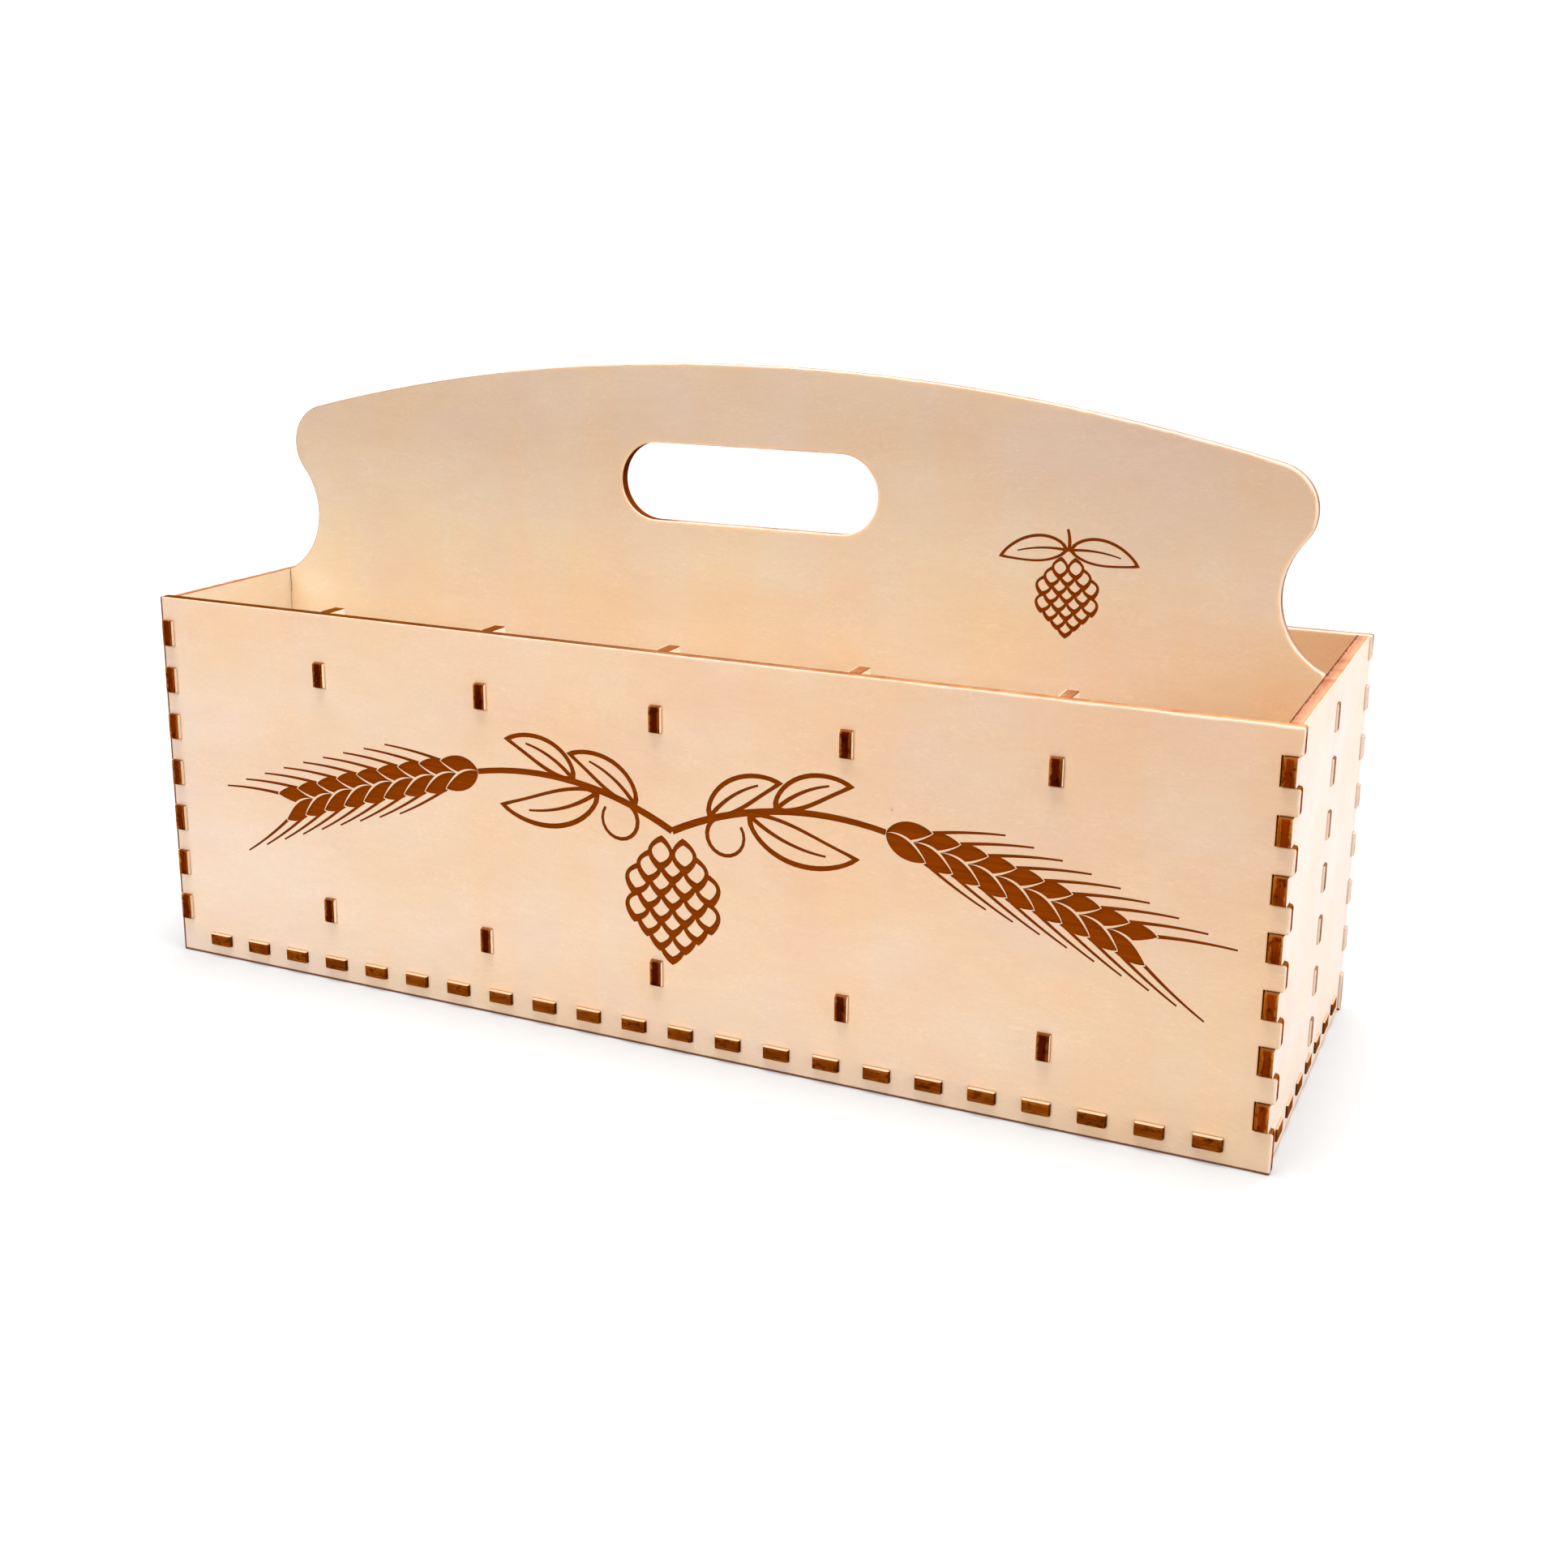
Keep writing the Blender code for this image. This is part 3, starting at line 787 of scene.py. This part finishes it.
def points_on_face(loops):
    """Points for the triangles of a face: rows beside every cut, and an even grid elsewhere."""
    found = []
    for ring in RINGS:
        spaced = [stations_on(loop, max(ring, RING_SPACING))[1] for loop in loops]
        rows = np.vstack([inset(places, ring) for places in spaced])
        found.append(rows[distance_to(loops, rows) > RING_ROOM * ring])
    low, high = loops[0].min(axis=0), loops[0].max(axis=0)
    columns, rows = (np.arange(low[i] + GRID / 2, high[i], GRID) for i in (0, 1))
    grid = np.array([(u, v) for u in columns for v in rows])
    found.append(grid[distance_to(loops, grid) > FAR_FROM_CUTS])
    return np.vstack(found)


def fill(loops, inner, carvings):
    """Triangles of a face inside its loops, and for each whether it is carved. The carvings are painted
    in turn, each of them cut or left standing."""
    corners = [tuple(point) for loop in loops for point in loop]
    rounds = []
    for loop in loops:
        start = sum(len(r) for r in rounds)
        rounds.append(list(range(start, start + len(loop))))
    rounds = [rounds[0]] + [r[::-1] for r in rounds[1:]]
    holes = set(range(1, len(loops)))
    for outline, _ in carvings:
        start = len(corners)
        forward = signed_area(outline) > 0
        corners += [tuple(point) for point in (outline if forward else outline[::-1])]
        rounds.append(list(range(start, len(corners))))
    corners += [tuple(point) for point in inner]
    made = delaunay_2d_cdt([Vector(c) for c in corners], [], rounds, WHOLE_HULL, HULL_MARGIN)
    places, triangles, within = made[0], made[2], made[5]
    kept, carved = [], []
    for triangle, ids in zip(triangles, within):
        if 0 in ids and not holes.intersection(ids):
            kept.append(triangle)
            last = max(ids) - len(loops)
            carved.append(last >= 0 and carvings[last][1])
    return np.array([tuple(p) for p in places]), kept, carved


def arris_profile():
    """Steps around a cut, from one face to the other: how far each lies in from the cut and down from its
    face, in shares of the arris, and on which side of the sheet."""
    turns = [math.pi / 2 * i / ARRIS_STEPS for i in range(ARRIS_STEPS + 1)]
    upper = [(1 - math.cos(turn), 1 - math.sin(turn), 1) for turn in turns]
    return [(by, down, -side) for by, down, side in reversed(upper)] + upper


class Sheet:
    """A panel with its place in the crate, its outlines and its growing mesh. Its vertices carry what the
    materials read: the place on the sheet and the depth in it, the distances to the nearest cut, tip and
    scorched and shaded side, and how calm a cut is and how far it is sanded and given a painted highlight."""

    def __init__(self, node):
        self.node = node
        self.axes = sheet_axes(node)
        low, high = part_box(node)
        through = self.axes[2]
        self.middle = (low[through] + high[through]) / 2
        self.half = (high[through] - low[through]) / 2
        self.low, self.high = ([corner[axis] for axis in self.axes[:2]] for corner in (low, high))
        outlines = cut_loops(node, self.axes)
        outlines[0] = squared(outlines[0], SQUARED.get(node, ()))
        self.loops = [divided(loop) for loop in fitted(node, outlines)]
        self.log_place = Vector(LOG_STEP) * sorted(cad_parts).index(node)
        self.outer_side = OUTER_SIDE.get(node, -1)
        self.bm = bmesh.new()
        self.place_layer = self.bm.verts.layers.float_vector.new("sheet")
        self.value_layers = [self.bm.verts.layers.float.new(name) for name in VALUES]

    def vertex(self, u, v, w, distance, calm=0.0, sanded_and_highlight=0.0):
        """A vertex at a place along, across and through the sheet, and a distance from the nearest cut."""
        place = Vector((0, 0, 0))
        for axis, value in zip(self.axes, (u, v, self.middle + w)):
            place[axis] = value
        new = self.bm.verts.new(place)
        new[self.place_layer] = self.log_place + Vector((u, v, w))
        inward = (u - self.low[0], v - self.low[1], self.high[0] - u, self.high[1] - v)
        scorched = [inward[side] for side in SCORCHED_AND_SHADED_SIDES.get(self.node, ())]
        depth = self.outer_side * w / self.half
        values = (depth, distance, min(inward), min(scorched, default=NOWHERE), calm, sanded_and_highlight)
        for layer, value in zip(self.value_layers, values):
            new[layer] = value
        return new

    def arris_shape(self, loop):
        """How calm the cut is at each point of a loop, how far its arris is sanded and given a painted
        highlight, and the arris' size.
        """
        rightward = loop[:, 0] if self.axes[0] == 0 else np.full(len(loop), self.middle)
        calm = np.interp(evenness(loop), CALM_CUT, (0, 1))
        calm[loop[:, 1] > HIGHEST_RIM - RIM_ZONE] = 1
        sanded_and_highlight = calm * (self.node not in ENDS)
        if self.node == "handle_panel":
            sanded_and_highlight = sanded_and_highlight * np.interp(rightward, HANDLED, (0, 1))
        if self.node in FRONT_AND_BACK:
            inward = np.minimum(loop[:, 0] - self.low[0], self.high[0] - loop[:, 0])
            sanded_and_highlight = np.maximum(calm, 1 - np.clip(inward / CORNER_FADE, 0, 1))
        rounding = np.interp(rightward, SANDED_AT, SANDED_ARRIS)
        return calm, sanded_and_highlight, SHARP_ARRIS + (rounding - SHARP_ARRIS) * sanded_and_highlight

    def add_cut(self, loop):
        """The wall of a cut with its two arrises. Returns the outline where the faces begin."""
        calm, sanded_and_highlight, arris = self.arris_shape(loop)
        rings = []
        for by, down, side in arris_profile():
            us, vs = inset(loop, by * arris).T
            ws = side * (self.half - down * arris)
            rows = zip(us, vs, ws, by * arris, calm, sanded_and_highlight * (by < 1))
            rings.append([self.vertex(*row) for row in rows])
        for number, (one, two) in enumerate(zip(rings, rings[1:])):
            on_outer_arris = number > ARRIS_STEPS if self.outer_side > 0 else number < ARRIS_STEPS
            for i in range(len(loop)):
                face = self.bm.faces.new((one[i - 1], one[i], two[i], two[i - 1]))
                face.material_index = FACE if on_outer_arris else CUT
        return inset(loop, arris)

    def add_face(self, side, rims, inner, carvings):
        """One face of the sheet, with its carvings sunk into it."""
        places, triangles, carved = fill(rims, inner, carvings)
        distances = distance_to(self.loops, places)
        vertices = {}

        def at(i, level):
            if (i, level) not in vertices:
                vertices[i, level] = self.vertex(*places[i], side * level, distances[i])
            return vertices[i, level]

        top = self.half
        bottom = self.half - CARVE_DEPTH
        standing = set()
        for triangle, is_carved in zip(triangles, carved):
            face = self.bm.faces.new([at(i, bottom if is_carved else top) for i in triangle])
            face.material_index = ENGRAVED if is_carved else FACE
            if not is_carved:
                standing.update(zip(triangle, triangle[1:] + triangle[:1]))
        for triangle, is_carved in zip(triangles, carved):
            if is_carved:
                for a, b in zip(triangle, triangle[1:] + triangle[:1]):
                    if (b, a) in standing:
                        face = self.bm.faces.new((at(a, bottom), at(b, bottom), at(b, top), at(a, top)))
                        face.material_index = ENGRAVED

    def mesh(self, carvings):
        """The finished mesh, with the carvings in its outer face."""
        rims = [self.add_cut(loop) for loop in self.loops]
        inner = points_on_face(rims)
        for side in (-1, 1):
            self.add_face(side, rims, inner, carvings if side == self.outer_side else ())
        bmesh.ops.remove_doubles(self.bm, verts=self.bm.verts, dist=WELD)
        bmesh.ops.recalc_face_normals(self.bm, faces=self.bm.faces)
        mesh = bpy.data.meshes.new(self.node + "_sheet")
        self.bm.to_mesh(mesh)
        self.bm.free()
        mesh.shade_smooth()
        mesh.set_sharp_from_angle(angle=SMOOTH_BELOW)
        return mesh


def dress(node, materials, carvings=()):
    """The visible panel that stands for a node of the frame."""
    piece = bpy.data.objects.new(node + "_sheet", Sheet(node).mesh(carvings))
    bpy.context.scene.collection.objects.link(piece)
    for material in materials:
        piece.data.materials.append(material)
    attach(piece, "root")
    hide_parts(node)


def bent_line(start, heading, length, bend):
    """Points of a line that sets out at a heading and bends evenly, and its headings there."""
    headings = np.radians(heading + bend * np.linspace(0, 1, STROKE_STEPS + 1))
    middle = (headings[1:] + headings[:-1]) / 2
    steps = np.stack([np.cos(middle), np.sin(middle)], axis=1) * length / STROKE_STEPS
    return np.array(start) + np.vstack([[0, 0], np.cumsum(steps, axis=0)]), headings


def stroke(start, heading, length, bend, half_width):
    """Outline of a bent stroke with a half width for each share of its length."""
    spine, headings = bent_line(start, heading, length, bend)
    aside = np.stack([-np.sin(headings), np.cos(headings)], axis=1)
    aside *= np.array([half_width(i / STROKE_STEPS) for i in range(STROKE_STEPS + 1)])[:, None]
    return np.vstack([spine - aside, (spine + aside)[::-1]])


def tapered(taper, size):
    """Half width of a stem: it goes evenly from one width to another."""
    wide, narrow = (width * size for width in taper)
    return lambda share: wide + (narrow - wide) * share


def pointed(wide, fullest):
    """Half width of a leaf: it swells from the base to its fullest place and runs out in a tip."""
    power = math.log(0.5) / math.log(fullest)
    return lambda share: wide * max(math.sin(math.pi * share ** power), 0.0) ** SLIMNESS + POINT


def outlined(start, heading, length, bend, wide, fullest, line):
    """A leaf shape cut as an outline, with its inside left standing."""
    outer = stroke(start, heading, length, bend, pointed(wide, fullest))
    turn = math.radians(heading)
    base = np.array(start) + INSIDE_FROM * line * np.array([math.cos(turn), math.sin(turn)])
    inner = stroke(base, heading + INSIDE_TURN * bend, length - INSIDE_SHORTER * line, INSIDE_BEND * bend,
                   pointed(wide - line, fullest))
    return [(outer, True), (inner, False)]


def leaf(start, heading, length, bend, wide, line):
    """An outlined leaf with its midrib."""
    rib = stroke(start, heading, RIB_SHARE * length, RIB_SHARE * bend, tapered(RIB_TAPER, line))
    return outlined(start, heading, length, bend, wide, LEAF_FULLEST, line) + [(rib, True)]


def hop_cone(tip, size):
    """A hop cone that hangs down, its scales laid over one another from the tip up."""
    cut = []
    length, wide = SCALE
    for row, count in enumerate(CONE_ROWS):
        for number in sorted(range(count), key=lambda n: -abs(n - (count - 1) / 2)):
            off = number - (count - 1) / 2
            up = SCALE_LIFT + SCALE_STEP[1] * row - SCALE_DROP * abs(off)
            start = (tip[0] + off * SCALE_STEP[0] * size, tip[1] + up * size)
            heading = -90 + SCALE_SPREAD * off
            cut += outlined(start, heading, length * size, 0, wide * size, SCALE_FULLEST, LINE * size)
    return cut


def barley_ear(start, heading, bend, pairs, size):
    """An ear of barley: kernels in pairs along a bent stem, each with its awn."""
    cut = []
    awn_turn, awn_length, awn_bend = AWN
    for number in reversed(range(pairs)):
        share = (number + FIRST_KERNEL) / pairs
        places, headings = bent_line(start, heading, KERNEL_STEP * size * pairs * share, bend * share)
        facing = math.degrees(headings[-1])
        for side in (1, -1):
            kernel = (places[-1], facing + KERNEL_TURN * side)
            curve = KERNEL_BEND * side
            root = bent_line(*kernel, AWN_ROOT * size, curve)[0][-1]
            awn = stroke(root, facing + awn_turn * side, awn_length * size, awn_bend * side,
                         tapered(AWN_TAPER, size))
            gap, body = (stroke(*kernel, length * size, curve, pointed(wide * size, KERNEL_FULLEST))
                         for length, wide in (KERNEL_GAP, KERNEL))
            cut += [(awn, True), (gap, False), (body, True)]
    return cut


def branch(start, size):
    """A stem to the right with leaves and a tendril, and an ear of barley at its end."""
    length, heading, bend = BRANCH
    places, headings = bent_line(start, heading, length * size, bend)
    cut = []
    for step, turn, long, curve, wide in LEAVES:
        facing = math.degrees(headings[step]) + turn
        cut += leaf(places[step], facing, long * size, curve, wide * size, LINE * size)
    setting_out, long, curl = TENDRIL
    tendril = stroke(places[TENDRIL_STEP], setting_out, long * size, curl, tapered(TENDRIL_TAPER, size))
    cut.append((tendril, True))
    ear_bend, pairs, ear_size = EAR
    cut += barley_ear(places[-1], math.degrees(headings[-1]), ear_bend, pairs, ear_size * size)
    return cut + [(stroke(start, heading, length * size, bend, tapered(BRANCH_TAPER, size)), True)]


def mirrored(cut, middle):
    """The same carvings, mirrored left to right."""
    return [(np.stack([2 * middle - shape[:, 0], shape[:, 1]], axis=1), carved) for shape, carved in cut]


def sprig():
    """A hop cone under a pair of leaves."""
    size = SPRIG_SIZE
    top = (SPRIG_PLACE[0], SPRIG_PLACE[1] + SPRIG_TOP * size)
    heading, length, bend, wide = SPRIG_LEAF
    right = leaf(top, heading, length * size, bend, wide * size, LINE * size)
    heading, length, bend = SPRIG_STEM
    stem = stroke(top, heading, length * size, bend, tapered(SPRIG_TAPER, size))
    return [(stem, True)] + right + mirrored(right, SPRIG_PLACE[0]) + hop_cone(SPRIG_PLACE, size)


def garland():
    """Two branches with ears of barley, and a hop cone between them."""
    right = branch(GARLAND_PLACE, GARLAND_SIZE)
    cut = right + mirrored(right, GARLAND_PLACE[0])
    return cut + hop_cone(GARLAND_CONE_TIP, GARLAND_SIZE)


def make_camera():
    """The photograph's camera."""
    data = bpy.data.cameras.new("camera")
    data.sensor_width = SENSOR_WIDTH
    data.lens = FOCAL_PIXELS / IMAGE_WIDTH * SENSOR_WIDTH
    data.shift_x = (IMAGE_WIDTH / 2 - OPTICAL_CENTER[0]) / IMAGE_WIDTH
    data.shift_y = (OPTICAL_CENTER[1] - IMAGE_HEIGHT / 2) / IMAGE_WIDTH
    data.clip_start = CLIP_START
    camera = bpy.data.objects.new("camera", data)
    camera.location = CAMERA_AT
    camera.rotation_euler = [math.radians(turn) for turn in CAMERA_TURN]
    bpy.context.scene.collection.objects.link(camera)
    bpy.context.scene.camera = camera


def add_lamp(name, place, size, watts):
    """Square soft lamp, turned to the crate."""
    data = bpy.data.lights.new(name, "AREA")
    data.shape = "SQUARE"
    data.size = size
    data.energy = watts
    lamp = bpy.data.objects.new(name, data)
    lamp.location = place
    lamp.rotation_euler = (Vector(LAMP_AIM) - Vector(place)).to_track_quat("-Z", "Y").to_euler()
    bpy.context.scene.collection.objects.link(lamp)


def seen_directly(tree):
    """One where the camera, a reflection or a clear material looks straight at the surface."""
    rays = add(tree, "LightPath").outputs
    seen = calc(tree, "MAXIMUM", rays["Is Camera Ray"], rays["Is Glossy Ray"])
    return calc(tree, "MAXIMUM", seen, rays["Is Transmission Ray"])


def make_backdrop():
    """White backdrop that gives a soft sky light."""
    world = bpy.data.worlds.new("studio")
    world.use_nodes = True
    bpy.context.scene.world = world
    tree = world.node_tree
    background = tree.nodes["Background"]
    background.inputs["Color"].default_value = WHITE
    level = ramp(tree, seen_directly(tree), 0.0, 1.0, SKY_LEVEL, BACKDROP_LEVEL)
    tree.links.new(level, background.inputs["Strength"])


def make_floor():
    """Pale floor that keeps the shadow and turns to the backdrop's white away from the crate."""
    bpy.ops.mesh.primitive_plane_add(size=FLOOR_SIZE, location=(0, 0, cad_box[0].z - FLOOR_GAP))
    floor = bpy.context.object
    floor.name = "floor"
    material, tree, shader = material_nodes("pale_floor")
    shader.inputs["Base Color"].default_value = FLOOR_COLOR
    shader.inputs["Roughness"].default_value = FLOOR_ROUGHNESS
    shader.inputs["Emission Color"].default_value = WHITE
    place = add(tree, "TexCoord").outputs["Object"]
    away = add(tree, "VectorMath", {0: place}, operation="LENGTH").outputs["Value"]
    level = ramp(tree, away, *GLOW_SPAN, FLOOR_GLOW, FLOOR_GLOW_FAR)
    glow = calc(tree, "MULTIPLY", seen_directly(tree), level)
    tree.links.new(glow, shader.inputs["Emission Strength"])
    floor.data.materials.append(material)


make_camera()
make_backdrop()
make_floor()
for name, lamp in LAMPS.items():
    add_lamp(name, *lamp)
bpy.context.scene.view_settings.view_transform = "Standard"

faces = {
    "front_panel": veneer("front_veneer", **FRONT_VENEER),
    "back_panel": veneer("back_veneer", **BACK_VENEER),
    "left_end_panel": veneer("left_end_veneer", **LEFT_VENEER),
    "right_end_panel": veneer("right_end_veneer", **RIGHT_VENEER),
    "handle_panel": veneer("handle_veneer", **HANDLE_VENEER),
    "floor_panel": veneer("floor_veneer", **FLOOR_VENEER),
}
divider_face = veneer("pale_veneer", **PALE_VENEER)
cuts = {
    "front_panel": burnt_edge("front_cut", **FRONT_CUT),
    "back_panel": burnt_edge("back_cut", **BACK_CUT),
    "left_end_panel": burnt_edge("left_end_cut", **LEFT_CUT),
    "right_end_panel": burnt_edge("right_end_cut", **RIGHT_CUT),
    "handle_panel": burnt_edge("handle_cut", **HANDLE_CUT),
    "floor_panel": burnt_edge("floor_cut", **FLOOR_CUT),
}
divider_cut = burnt_edge("divider_cut", **DIVIDER_CUT)
engraving = engraved_wood()
ornaments = {
    "front_panel": garland(),
    "handle_panel": sprig(),
}
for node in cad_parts:
    materials = (faces.get(node, divider_face), cuts.get(node, divider_cut), engraving)
    dress(node, materials, ornaments.get(node, ()))
